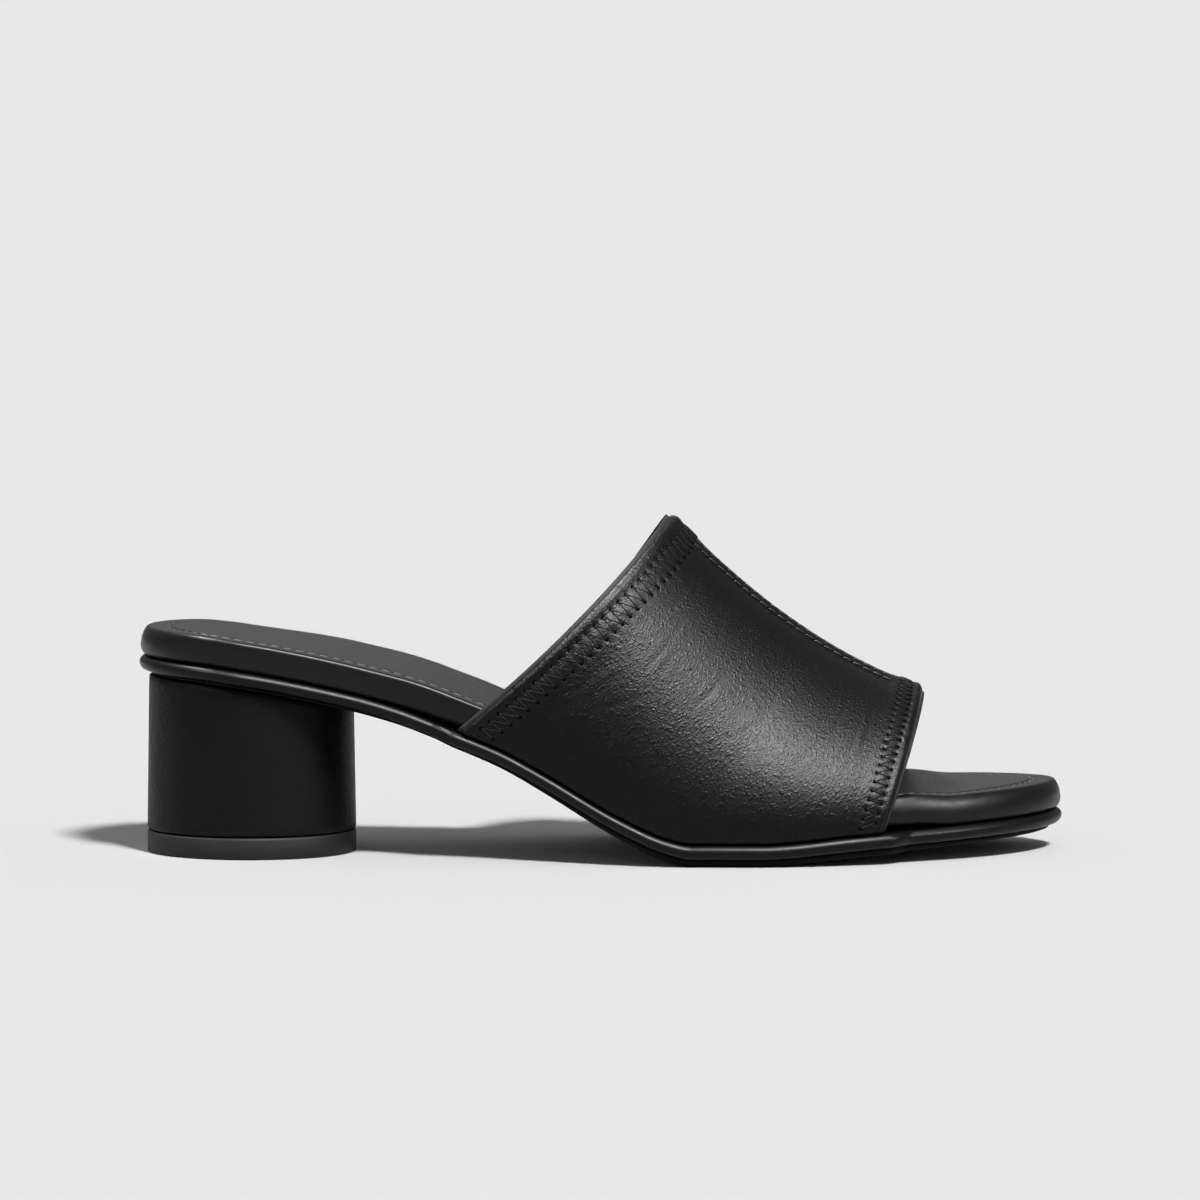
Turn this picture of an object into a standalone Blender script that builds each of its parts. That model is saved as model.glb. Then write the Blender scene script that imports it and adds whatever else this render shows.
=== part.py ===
# Block heel mule, a right shoe: one soft vamp over a padded footbed, on a wrapped sole and a round block heel.
# Metres, +Z up, toe along +X, lateral side along -Y. The origin is on the floor, under the middle of the heel.

import math

import bmesh
import bpy
from mathutils import Vector

# Sole plan
FOOTBED_LENGTH = 0.2437
SEAT_WIDTH = 0.0570
BALL_WIDTH = 0.0833
TOE_TIP_SHIFT = 0.0112

# Sole height and layers
HEEL_RISE = 0.0475
TOE_SPRING = 0.0053
ARCH_LIFT = 0.0017
FOOTBED_THICKNESS = 0.0076
RAND_THICKNESS = 0.0038
RAND_SHELF = 0.0006
OUTSOLE_THICKNESS = 0.0018
OUTSOLE_SET_IN = 0.0034

# Heel
HEEL_LENGTH = 0.0552
HEEL_TOP_LENGTH = 0.0541
HEEL_WIDTH = 0.0515
HEEL_TOP_WIDTH = 0.0505
HEEL_SET_IN = 0.0017
TOP_PIECE_HEIGHT = 0.0058
TOP_PIECE_ROUND = 0.0005

# Upper
COLLAR_HEIGHT = 0.0889
TOE_EDGE_HEIGHT = 0.0430
COLLAR_HOLLOW = 0.0016
RIDGE_SHIFT = 0.0045
WALL = 0.0020
LINING_WALL = 0.0008
LINING_SHOW = 0.0009
HEM_WIDTH = 0.0075
HEM_RISE = 0.0005
HEM_ROUND = 0.0011
LASTING_WALL = 0.0009
LASTING_WIDTH = 0.0100
FOOT_CLEARANCE = 0.0005

# Clearance between pieces that touch on the real shoe
GAP = 0.0003

# Stations where the upper's edges meet the sole's lateral side, its medial side and the ridge
COLLAR_STATIONS = {"lateral": 0.348, "medial": 0.398, "ridge": 0.577}
TOE_EDGE_STATIONS = {"lateral": 0.803, "medial": 0.826, "ridge": 0.849}

# How much the ridge sinks below a straight line between its ends, as a share of its drop
RIDGE_HOLLOW_SHARE = 0.515

# Sole profile. Station along the footbed, then shares of: heel rise, toe spring, outsole thickness, arch lift
PROFILE = (
    (0.000, 1.000, 0.00, 0.30, 0.00),
    (0.064, 0.981, 0.00, 0.35, 0.00),
    (0.120, 0.943, 0.00, 0.30, 0.05),
    (0.227, 0.830, 0.00, 0.35, 0.80),
    (0.280, 0.755, 0.00, 0.30, 0.95),
    (0.337, 0.644, 0.00, 0.28, 1.00),
    (0.391, 0.530, 0.00, 0.40, 0.85),
    (0.440, 0.391, 0.00, 0.60, 0.60),
    (0.518, 0.151, 0.00, 0.85, 0.20),
    (0.571, 0.026, 0.00, 1.00, 0.00),
    (0.596, 0.000, 0.00, 1.00, 0.00),
    (0.670, 0.000, 0.00, 1.00, 0.00),
    (0.768, 0.000, 0.35, 1.00, 0.00),
    (0.887, 0.000, 0.74, 0.75, 0.00),
    (1.000, 0.000, 1.00, 0.55, 0.00),
)

# Footbed edges. Station, then how far the lateral and the medial edge have gone from seat to ball half width
EDGES = (
    (0.120, 0.000, 0.000),
    (0.227, 0.015, -0.070),
    (0.333, 0.146, -0.165),
    (0.391, 0.330, -0.040),
    (0.477, 0.670, 0.357),
    (0.563, 0.927, 0.738),
    (0.661, 1.000, 0.960),
    (0.735, 1.000, 1.000),
)

# The toe's two quarters. Station where each starts, and its squareness
TOE_QUARTERS = {-1: (0.661, 1.87), 1: (0.735, 1.93)}
LATERAL_SHARE = 0.507

# Edge shapes of the layers. Inset and height, both as shares of the layer's thickness
FOOTBED_EDGE = (
    (0.17, 0.00),
    (0.05, 0.12),
    (0.00, 0.34),
    (0.00, 0.58),
    (0.07, 0.82),
    (0.20, 0.96),
    (0.38, 1.00),
)
RAND_EDGE = ((0.42, 0.00), (0.10, 0.21), (0.00, 0.50), (0.10, 0.79), (0.42, 1.00))
OUTSOLE_EDGE = ((0.40, 0.00), (0.00, 0.35), (0.00, 1.00))

# Vamp sections from toe edge to collar. Place, then fullness of the wall, breadth of the ridge, bulge over the sole
VAMP = (
    (0.00, 0.52, 0.50, 0.030),
    (0.50, 0.52, 0.46, 0.040),
    (1.00, 0.55, 0.44, 0.030),
)

# How finely the shapes are cut
SEAT_STEPS = 8
SIDE_STEPS = 34
TOE_STEPS = 13
HEEL_STEPS = 20
VAMP_STEPS = 16
WALL_STEPS = 13

BACK = -(HEEL_LENGTH / 2 + HEEL_SET_IN)
TIP = BACK + FOOTBED_LENGTH
SEAT = BACK + EDGES[0][0] * FOOTBED_LENGTH
UPPER_STAND_OUT = FOOT_CLEARANCE + WALL
RAND_STAND_OUT = UPPER_STAND_OUT + RAND_SHELF
BASE_ROUND = 0.7 * LASTING_WALL
STEP_RAMP = 0.0070
COLLAR_LIFT_RAMP = 0.0250
TOE_LIFT_RAMP = 0.0120


def clear_scene():
    for thing in list(bpy.data.objects):
        bpy.data.objects.remove(thing, do_unlink=True)


def place(station):
    return BACK + station * FOOTBED_LENGTH


def table_slopes(rows, column):
    spans = [(b[column] - a[column]) / (b[0] - a[0]) for a, b in zip(rows, rows[1:])]
    slopes = [spans[0]]
    for before, after in zip(spans, spans[1:]):
        level = before * after <= 0.0
        slopes.append(0.0 if level else 2.0 * before * after / (before + after))
    slopes.append(spans[-1])
    return slopes


def read_table(rows, column, at):
    # A smooth curve through the table's rows that never overshoots them
    at = min(max(at, rows[0][0]), rows[-1][0])
    slopes = table_slopes(rows, column)
    last = len(rows) - 2
    row = next((i for i in range(last) if at <= rows[i + 1][0]), last)
    width = rows[row + 1][0] - rows[row][0]
    t = (at - rows[row][0]) / width
    start = rows[row][column]
    end = rows[row + 1][column]
    bend = slopes[row] * width * t * (1 - t) ** 2 - slopes[row + 1] * width * t * t * (1 - t)
    return start + (end - start) * t * t * (3 - 2 * t) + bend


def ease(value):
    value = min(max(value, 0.0), 1.0)
    return value * value * (3 - 2 * value)


def quarter(share, squareness):
    return max(0.0, 1.0 - share ** squareness) ** (1.0 / squareness)


# Plan of the footbed

def edge_y(x, side):
    station = (x - BACK) / FOOTBED_LENGTH
    grown = read_table(EDGES, 1 if side < 0 else 2, station)
    ball = BALL_WIDTH * (LATERAL_SHARE if side < 0 else 1 - LATERAL_SHARE)
    y = side * (SEAT_WIDTH / 2 + (ball - SEAT_WIDTH / 2) * grown)
    if x < SEAT:
        y *= quarter((SEAT - x) / (SEAT - BACK), 2.0)
    start, squareness = TOE_QUARTERS[side]
    if station > start:
        share = min(1.0, (station - start) / (1.0 - start))
        y = TOE_TIP_SHIFT + (y - TOE_TIP_SHIFT) * quarter(share, squareness)
    return y


def outline_stations():
    turn = math.pi / 2
    wide = place(TOE_QUARTERS[-1][0])
    seat = [SEAT - (SEAT - BACK) * math.cos(turn * i / SEAT_STEPS) for i in range(SEAT_STEPS)]
    side = [SEAT + (wide - SEAT) * i / SIDE_STEPS for i in range(SIDE_STEPS)]
    toe = [wide + (TIP - wide) * math.sin(turn * i / TOE_STEPS) for i in range(TOE_STEPS + 1)]
    return seat + side + toe


def outline_points():
    # Back of the heel, along the lateral edge to the toe, and back along the medial edge
    stations = outline_stations()
    lateral = [(x, edge_y(x, -1), -1) for x in stations]
    medial = [(x, edge_y(x, 1), 1) for x in reversed(stations[1:-1])]
    return lateral + medial


def outline_normals(points):
    normals = []
    for i in range(len(points)):
        before = points[i - 1]
        after = points[(i + 1) % len(points)]
        along = Vector((after[0] - before[0], after[1] - before[1]))
        normals.append(Vector((along.y, -along.x)).normalized())
    return normals


# Heights of the layers, all level across the shoe apart from the lift of the arch

def outsole_bottom(x, y):
    station = (x - BACK) / FOOTBED_LENGTH
    rise = HEEL_RISE * read_table(PROFILE, 1, station) + TOE_SPRING * read_table(PROFILE, 2, station)
    return rise + ARCH_LIFT * read_table(PROFILE, 4, station) * (0.5 + y / SEAT_WIDTH)


def outsole_top(x, y):
    return outsole_bottom(x, y) + OUTSOLE_THICKNESS * read_table(PROFILE, 3, (x - BACK) / FOOTBED_LENGTH)


def rand_bottom(x, y):
    return outsole_top(x, y) + GAP


def rand_top(x, y):
    return rand_bottom(x, y) + RAND_THICKNESS


def lasting_bottom(x, y):
    return rand_top(x, y) + GAP


def footbed_bottom(x, y):
    # The footbed rides up over the upper's lasting margin
    start = place(min(COLLAR_STATIONS["lateral"], COLLAR_STATIONS["medial"])) - 2 * LINING_SHOW
    end = place(max(TOE_EDGE_STATIONS["lateral"], TOE_EDGE_STATIONS["medial"])) + 2 * LINING_SHOW
    lifted = ease((x - start) / COLLAR_LIFT_RAMP + 1) * ease((end - x) / TOE_LIFT_RAMP + 1)
    return rand_top(x, y) + GAP + lifted * (LASTING_WALL + GAP)


def footbed_top(x, y):
    return footbed_bottom(x, y) + FOOTBED_THICKNESS


# How far each layer stands out from the footbed's edge

def footbed_reach(x, side):
    return 0.0


def rand_reach(x, side):
    name = "lateral" if side < 0 else "medial"
    start = place(COLLAR_STATIONS[name]) - LINING_SHOW
    end = place(TOE_EDGE_STATIONS[name]) + LINING_SHOW
    under = ease((x - start) / STEP_RAMP + 1) * ease((end - x) / STEP_RAMP + 1)
    return GAP + under * (RAND_STAND_OUT - GAP)


def outsole_reach(x, side):
    return rand_reach(x, side) - OUTSOLE_SET_IN


def layer_rings(reach, edge, thickness, bottom, top):
    points = outline_points()
    normals = outline_normals(points)
    rings = []
    for inset, height in edge:
        ring = []
        for (x, y, side), normal in zip(points, normals):
            out = reach(x, side) - inset * thickness
            px = x + normal.x * out
            py = y + normal.y * out
            low = bottom(px, py)
            ring.append(Vector((px, py, low + (top(px, py) - low) * height)))
        rings.append(ring)
    return rings


# Heel and top piece

def oval(length, width, height):
    # Starts at the front of the heel and runs round by the medial side
    ring = []
    for i in range(2 * HEEL_STEPS):
        angle = math.pi * i / HEEL_STEPS
        x = math.cos(angle) * length / 2
        y = math.sin(angle) * width / 2
        ring.append(Vector((x, y, height(x, y))))
    return ring


def heel_rings():
    base = TOP_PIECE_HEIGHT + GAP
    return [
        oval(HEEL_LENGTH, HEEL_WIDTH, lambda x, y: base),
        oval(HEEL_TOP_LENGTH, HEEL_TOP_WIDTH, lambda x, y: outsole_bottom(x, y) - GAP),
    ]


def top_piece_rings():
    inset = 2 * TOP_PIECE_ROUND
    return [
        oval(HEEL_LENGTH - inset, HEEL_WIDTH - inset, lambda x, y: 0.0),
        oval(HEEL_LENGTH, HEEL_WIDTH, lambda x, y: TOP_PIECE_ROUND),
        oval(HEEL_LENGTH, HEEL_WIDTH, lambda x, y: TOP_PIECE_HEIGHT),
    ]


# Upper

def bezier(values, t):
    a, b, c, d = values
    s = 1 - t
    return a * s ** 3 + 3 * b * s * s * t + 3 * c * s * t * t + d * t ** 3


def mix(a, b, share):
    return a + (b - a) * share


def upper_base_y(x, side):
    # The outside of the wall, square to the footbed's edge
    slope = (edge_y(x + WALL, side) - edge_y(x - WALL, side)) / (2 * WALL)
    return edge_y(x, side) + side * UPPER_STAND_OUT * math.hypot(1, slope)


def ridge_height(along):
    # 0 at the toe edge, 1 at the collar's peak
    sunk = RIDGE_HOLLOW_SHARE * along * (1 - along)
    return mix(TOE_EDGE_HEIGHT, COLLAR_HEIGHT, along - sunk)


def vamp_point(along, up, side):
    # along: 0 at the toe edge, 1 at the collar. up: 0 at the sole, 1 at the ridge
    name = "lateral" if side < 0 else "medial"
    base_x = place(mix(TOE_EDGE_STATIONS[name], COLLAR_STATIONS[name], along))
    ridge_x = place(mix(TOE_EDGE_STATIONS["ridge"], COLLAR_STATIONS["ridge"], along))
    fullness = read_table(VAMP, 1, along)
    breadth = read_table(VAMP, 2, along)
    bulge = read_table(VAMP, 3, along)
    rise = bezier((0.0, fullness, 1.0, 1.0), up)
    spread = bezier((1.0, 1.0 + bulge, breadth, 0.0), up)
    base_z = lasting_bottom(base_x, upper_base_y(base_x, side)) + BASE_ROUND
    x = mix(base_x, ridge_x, rise) + 4 * COLLAR_HOLLOW * along * rise * (1 - rise)
    y = mix(RIDGE_SHIFT, upper_base_y(x, side), spread)
    return Vector((x, y, mix(base_z, ridge_height(along), rise)))


def vamp_normal(along, up, side):
    step = 0.004
    high = min(up + step, 1.0)
    across = vamp_point(along, high, side) - vamp_point(along, high - 2 * step, side)
    lengthwise = vamp_point(along + step, up, side) - vamp_point(along - step, up, side)
    if up >= 1.0:
        across = Vector((0.0, -side, 0.0))
    return lengthwise.cross(across).normalized() * side


def vamp_length(up, side):
    steps = 10
    points = [vamp_point(i / steps, up, side) for i in range(steps + 1)]
    return sum((b - a).length for a, b in zip(points, points[1:]))


def hem_rows():
    # Distance in from the edge, and height of the outer face over the plain wall
    bare = LINING_WALL - WALL
    return [
        (-LINING_SHOW, bare),
        (-0.1 * LINING_SHOW, bare),
        (0.0, 0.7 * bare),
        (0.35 * HEM_ROUND, 0.1 * bare),
        (HEM_ROUND, 0.7 * HEM_RISE),
        (2 * HEM_ROUND, HEM_RISE),
        (HEM_WIDTH, HEM_RISE),
        (HEM_WIDTH + HEM_ROUND, 0.0),
    ]


def section_places(length):
    # Place along the vamp of each section and its outer height, where the vamp is this long
    hem = hem_rows()
    inner = (HEM_WIDTH + HEM_ROUND) / length
    toe = [(distance / length, rise) for distance, rise in hem]
    middle = [(mix(inner, 1 - inner, i / VAMP_STEPS), 0.0) for i in range(1, VAMP_STEPS)]
    collar = [(1 - distance / length, rise) for distance, rise in reversed(hem)]
    return toe + middle + collar


def wall_side(section, side):
    # The outer and inner points of one side, from the lasting margin's edge up to the ridge
    outer = []
    inner = []
    for i in range(WALL_STEPS + 1):
        up = (i / WALL_STEPS) ** 1.15
        along, rise = section_places(vamp_length(up, side))[section]
        point = vamp_point(along, up, side)
        normal = vamp_normal(along, up, side)
        outer.append(point + normal * rise)
        inner.append(point - normal * WALL)
    foot = outer[0]
    hollow = inner[0]
    floor_z = lasting_bottom(hollow.x, hollow.y)
    inner[0] = Vector((hollow.x, hollow.y, floor_z + LASTING_WALL + GAP))
    corner = foot - Vector((0, side * BASE_ROUND, 0))
    margin = [corner.y, hollow.y - side * LASTING_WIDTH / 2, hollow.y - side * LASTING_WIDTH]
    for y in margin:
        outer.insert(0, Vector((foot.x, y, lasting_bottom(foot.x, y))))
    margin[0] = hollow.y - side * BASE_ROUND
    for y in margin:
        inner.insert(0, Vector((hollow.x, y, lasting_bottom(hollow.x, y) + LASTING_WALL)))
    return outer, inner


def upper_rings():
    rings = []
    for section in range(2 * len(hem_rows()) + VAMP_STEPS - 1):
        lateral_outer, lateral_inner = wall_side(section, -1)
        medial_outer, medial_inner = wall_side(section, 1)
        outer = lateral_outer + medial_outer[-2::-1]
        inner = lateral_inner + medial_inner[-2::-1]
        rings.append(outer + inner[::-1])
    return rings


# Solids and finishes

def finish(name, colour, roughness):
    material = bpy.data.materials.new(name)
    material.use_nodes = True
    shader = material.node_tree.nodes["Principled BSDF"]
    shader.inputs["Base Color"].default_value = (*colour, 1.0)
    shader.inputs["Roughness"].default_value = roughness
    shader.inputs["Metallic"].default_value = 0.0
    return material


def cap(mesh, ring, pointed, flip):
    # Closes a ring by joining its two halves rung by rung. A pointed ring starts and ends each half on one point
    shift = 0 if pointed else 1
    left = ring[:len(ring) // 2 + 1 - shift]
    right = [ring[-i - shift] for i in range(len(left))]
    for i in range(len(left) - 1):
        corners = []
        for vert in (left[i], left[i + 1], right[i + 1], right[i]):
            if vert not in corners:
                corners.append(vert)
        mesh.faces.new(corners[::-1] if flip else corners)


def solid(name, rings, pointed, material):
    mesh = bmesh.new()
    loops = [[mesh.verts.new(point) for point in ring] for ring in rings]
    count = len(loops[0])
    for low, high in zip(loops, loops[1:]):
        for i in range(count):
            j = (i + 1) % count
            mesh.faces.new((low[i], low[j], high[j], high[i]))
    cap(mesh, loops[0], pointed, True)
    cap(mesh, loops[-1], pointed, False)
    bmesh.ops.recalc_face_normals(mesh, faces=mesh.faces)
    data = bpy.data.meshes.new(name)
    mesh.to_mesh(data)
    mesh.free()
    data.shade_smooth()
    data.set_sharp_from_angle(angle=math.radians(35))
    data.materials.append(material)
    thing = bpy.data.objects.new(name, data)
    bpy.context.scene.collection.objects.link(thing)
    return thing


clear_scene()

upper_leather = finish("upper_leather", (0.018, 0.017, 0.018), 0.42)
footbed_leather = finish("footbed_leather", (0.040, 0.033, 0.030), 0.48)
rand_leather = finish("rand_leather", (0.016, 0.015, 0.016), 0.40)
sole_rubber = finish("sole_rubber", (0.020, 0.019, 0.019), 0.62)
heel_leather = finish("heel_leather", (0.014, 0.014, 0.015), 0.45)
heel_rubber = finish("heel_rubber", (0.022, 0.022, 0.023), 0.60)

footbed = layer_rings(footbed_reach, FOOTBED_EDGE, FOOTBED_THICKNESS, footbed_bottom, footbed_top)
rand = layer_rings(rand_reach, RAND_EDGE, RAND_THICKNESS, rand_bottom, rand_top)
outsole = layer_rings(outsole_reach, OUTSOLE_EDGE, OUTSOLE_THICKNESS, outsole_bottom, outsole_top)

solid("upper", upper_rings(), False, upper_leather)
solid("footbed", footbed, True, footbed_leather)
solid("midsole", rand, True, rand_leather)
solid("outsole", outsole, True, sole_rubber)
solid("heel", heel_rings(), True, heel_leather)
solid("top_piece", top_piece_rings(), True, heel_rubber)
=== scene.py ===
import math

import bmesh
import bpy
import numpy as np
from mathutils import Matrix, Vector


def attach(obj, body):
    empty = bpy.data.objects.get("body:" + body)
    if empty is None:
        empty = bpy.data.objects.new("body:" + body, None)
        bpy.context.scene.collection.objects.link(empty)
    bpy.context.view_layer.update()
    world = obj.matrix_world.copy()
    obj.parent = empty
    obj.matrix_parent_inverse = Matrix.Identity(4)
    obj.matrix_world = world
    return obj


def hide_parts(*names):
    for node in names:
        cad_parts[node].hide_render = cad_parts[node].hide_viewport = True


# Block heel mule, a right shoe. Lengths below are in millimetres, toe along +X, lateral side along -Y.
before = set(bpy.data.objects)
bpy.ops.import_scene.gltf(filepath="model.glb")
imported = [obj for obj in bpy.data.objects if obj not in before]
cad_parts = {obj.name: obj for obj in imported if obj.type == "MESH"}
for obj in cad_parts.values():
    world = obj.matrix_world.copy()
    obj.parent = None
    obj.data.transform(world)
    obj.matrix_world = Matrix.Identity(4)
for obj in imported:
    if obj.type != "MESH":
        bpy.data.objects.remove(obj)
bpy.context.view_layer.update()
mm = 0.001

# The last: the same sizes as the solids
last = {
    "length": 243.7, "seatWidth": 57.0, "ballWidth": 83.3, "lateralShare": 0.507, "tipShift": 11.2,
    "back": -29.3, "heelRise": 47.5, "toeSpring": 5.3, "archLift": 1.7, "gap": 0.3,
    "outsole": 1.8, "rand": 3.8, "footbed": 7.6, "lasting": 0.9,
}

# station, heel rise, toe spring, outsole thickness, arch lift
profile = (
    (0.000, 1.000, 0.00, 0.30, 0.00),
    (0.064, 0.981, 0.00, 0.35, 0.00),
    (0.120, 0.943, 0.00, 0.30, 0.05),
    (0.227, 0.830, 0.00, 0.35, 0.80),
    (0.280, 0.755, 0.00, 0.30, 0.95),
    (0.337, 0.644, 0.00, 0.28, 1.00),
    (0.391, 0.530, 0.00, 0.40, 0.85),
    (0.440, 0.391, 0.00, 0.60, 0.60),
    (0.518, 0.151, 0.00, 0.85, 0.20),
    (0.571, 0.026, 0.00, 1.00, 0.00),
    (0.596, 0.000, 0.00, 1.00, 0.00),
    (0.670, 0.000, 0.00, 1.00, 0.00),
    (0.768, 0.000, 0.35, 1.00, 0.00),
    (0.887, 0.000, 0.74, 0.75, 0.00),
    (1.000, 0.000, 1.00, 0.55, 0.00),
)

# station, lateral and medial edge from seat to ball
edges = (
    (0.120, 0.000, 0.000),
    (0.227, 0.015, -0.070),
    (0.333, 0.146, -0.165),
    (0.391, 0.330, -0.040),
    (0.477, 0.670, 0.357),
    (0.563, 0.927, 0.738),
    (0.661, 1.000, 0.960),
    (0.735, 1.000, 1.000),
)
toeQuarters = {-1: (0.661, 1.87), 1: (0.735, 1.93)}


def smoothTable(rows, column):
    # A table column as a smooth curve that never overshoots its rows, ready to read with arrays
    at = np.array([row[0] for row in rows])
    value = np.array([row[column] for row in rows])
    spans = np.diff(value) / np.diff(at)
    product = spans[1:] * spans[:-1]
    total = spans[1:] + spans[:-1]
    inner = np.where(product > 0, 2 * product / np.where(total == 0, 1, total), 0)
    slopes = np.concatenate([spans[:1], inner, spans[-1:]])
    fine = np.linspace(at[0], at[-1], 4001)
    row = np.clip(np.searchsorted(at, fine, side="right") - 1, 0, len(at) - 2)
    width = at[row + 1] - at[row]
    t = (fine - at[row]) / width
    bend = slopes[row] * width * t * (1 - t) ** 2 - slopes[row + 1] * width * t * t * (1 - t)
    curve = value[row] + (value[row + 1] - value[row]) * t * t * (3 - 2 * t) + bend
    return lambda x: np.interp(x, fine, curve)


def ease(value):
    value = np.clip(value, 0.0, 1.0)
    return value * value * (3 - 2 * value)


def mix(a, b, share):
    return a + (b - a) * share


heelCurve, toeCurve, outsoleCurve, archCurve = [smoothTable(profile, i) for i in (1, 2, 3, 4)]
edgeCurves = {-1: smoothTable(edges, 1), 1: smoothTable(edges, 2)}
back = last["back"]
tip = back + last["length"]
seat = back + edges[0][0] * last["length"]


def place(station):
    return back + station * last["length"]


def stationOf(x):
    return (np.asarray(x, float) - back) / last["length"]


def quarter(share, squareness):
    return np.maximum(0.0, 1.0 - np.clip(share, 0, 1) ** squareness) ** (1.0 / squareness)


def edgeY(x, side):
    station = stationOf(x)
    halfSeat = last["seatWidth"] / 2
    ball = last["ballWidth"] * (last["lateralShare"] if side < 0 else 1 - last["lateralShare"])
    y = side * (halfSeat + (ball - halfSeat) * edgeCurves[side](station))
    y = y * np.where(x < seat, quarter((seat - x) / (seat - back), 2.0), 1.0)
    start, squareness = toeQuarters[side]
    share = np.clip((station - start) / (1 - start), 0, 1)
    narrowing = np.where(station > start, quarter(share, squareness), 1.0)
    return last["tipShift"] + (y - last["tipShift"]) * narrowing


def outsoleBottom(x, y):
    s = stationOf(x)
    lift = last["archLift"] * archCurve(s) * (0.5 + y / last["seatWidth"])
    return last["heelRise"] * heelCurve(s) + last["toeSpring"] * toeCurve(s) + lift


def outsoleTop(x, y):
    return outsoleBottom(x, y) + last["outsole"] * outsoleCurve(stationOf(x))


def randBottom(x, y):
    return outsoleTop(x, y) + last["gap"]


def randTop(x, y):
    return randBottom(x, y) + last["rand"]


def lastingBottom(x, y):
    return randTop(x, y) + last["gap"]


# Where the vamp's edges meet the sole and the ridge, as stations
vamp = {
    "collar": {-1: 0.348, 1: 0.398, "peak": 0.577},
    "toe": {-1: 0.803, 1: 0.826, "peak": 0.849},
    "collarHeight": 88.9, "toeHeight": 43.0, "ridgeShift": 4.5, "ridgeHollow": 0.515, "collarHollow": 1.6,
    "wall": 2.0, "leather": 1.15, "clearance": 0.5,
    "liningShow": 0.9, "liftBefore": 25.0, "liftAfter": 12.0,
}

# share of the way from the toe edge to the collar, then the arch's fullness, breadth and bulge there
vampRows = ((0.00, 0.52, 0.50, 0.030), (0.50, 0.52, 0.46, 0.040), (1.00, 0.55, 0.44, 0.030))
fullnessCurve, breadthCurve, bulgeCurve = [smoothTable(vampRows, i) for i in (1, 2, 3)]


def underVamp(x, side, step):
    # 1 under the vamp, 0 clear of it, with an eased step at both ends
    start = place(vamp["collar"][side]) - vamp["liningShow"]
    end = place(vamp["toe"][side]) + vamp["liningShow"]
    return ease((x - start) / step + 1) * ease((end - x) / step + 1)


def footbedBottom(x, y):
    start = place(vamp["collar"][-1]) - 2 * vamp["liningShow"]
    end = place(vamp["toe"][1]) + 2 * vamp["liningShow"]
    lifted = ease((x - start) / vamp["liftBefore"] + 1) * ease((end - x) / vamp["liftAfter"] + 1)
    return randTop(x, y) + last["gap"] + lifted * (last["lasting"] + last["gap"])


# Meshes

def finishMesh(name, mesh, material, smooth=True):
    bmesh.ops.recalc_face_normals(mesh, faces=mesh.faces)
    data = bpy.data.meshes.new(name)
    mesh.to_mesh(data)
    mesh.free()
    if smooth:
        data.shade_smooth()
    data.materials.append(material)
    piece = bpy.data.objects.new(name, data)
    bpy.context.scene.collection.objects.link(piece)
    return piece


def gridPiece(name, points, material, smooth=True, mergeAt=0.02):
    # points has one row of places for each column of the grid; edges that fall together are merged shut
    columns, rows = points.shape[:2]
    mesh = bmesh.new()
    bmesh.ops.create_grid(mesh, x_segments=columns - 1, y_segments=rows - 1, size=1.0)
    mesh.verts.ensure_lookup_table()
    flat = points.transpose(1, 0, 2).reshape(-1, 3)
    for vert, point in zip(mesh.verts, flat):
        vert.co = Vector(point) * mm
    bmesh.ops.remove_doubles(mesh, verts=mesh.verts, dist=mergeAt * mm)
    return finishMesh(name, mesh, material, smooth)


def outlineColumns(count):
    # Places along the footbed's edge, closer together round the heel and the toe
    turn = np.linspace(0, math.pi / 2, 400)
    wide = place(toeQuarters[-1][0])
    xs = np.concatenate([
        seat - (seat - back) * np.cos(turn),
        np.linspace(seat, wide, 400)[1:],
        wide + (tip - wide) * np.sin(turn)[1:],
    ])
    walked = {}
    for side in (-1, 1):
        ys = edgeY(xs, side)
        walked[side] = np.concatenate([[0], np.cumsum(np.hypot(np.diff(xs), np.diff(ys)))])
    middle = (walked[-1] + walked[1]) / 2
    return np.interp(np.linspace(0, middle[-1], count), middle, xs)


def outlineOutward(xs, side):
    # The footbed's edge and its outward direction; the two ends look straight along the shoe
    ys = edgeY(xs, side)
    nx = -side * np.gradient(ys)
    ny = side * np.gradient(xs)
    nx[0], ny[0] = -1.0, 0.0
    nx[-1], ny[-1] = 1.0, 0.0
    size = np.hypot(nx, ny)
    return ys, nx / size, ny / size


def platePoints(columns, reach, under, over, bottom, top, innerSteps, crown=None, puff=None):
    # A closed layer. under and over are rows of inset and height, from the underside out, up and in again
    xs = outlineColumns(columns)
    sides = {}
    for side in (-1, 1):
        ys, nx, ny = outlineOutward(xs, side)
        rows = []
        for inset, height in under + over:
            puffed = puff is not None and height > 0.5    # only the upper half of the edge is padded
            out = reach(xs, side) - (puff(xs, inset, height) if puffed else inset)
            px = xs + nx * out
            py = ys + ny * out
            low = bottom(px, py)
            rows.append(np.stack([px, py, low + (top(px, py) - low) * height], axis=-1))
        sides[side] = rows
    strips = list(sides[-1])
    a = sides[-1][-1]
    b = sides[1][-1]
    for i in range(1, innerSteps):
        share = i / innerSteps
        strip = mix(a, b, share)
        low = bottom(strip[:, 0], strip[:, 1])
        strip[:, 2] = low + (top(strip[:, 0], strip[:, 1]) - low) * over[-1][1]
        strips.append(strip)
    strips += sides[1][::-1]
    a = sides[1][0]
    b = sides[-1][0]
    underSteps = 3
    for i in range(1, underSteps + 1):
        strip = mix(a, b, i / underSteps)
        if under[0][1] <= 0.0:
            strip[:, 2] = np.where(i == underSteps, b[:, 2], bottom(strip[:, 0], strip[:, 1]))
        strips.append(strip)
    points = np.stack(strips, axis=1)
    if crown is not None:
        points = crown(points, len(under), len(sides[-1]))
    return points


# Materials

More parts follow.
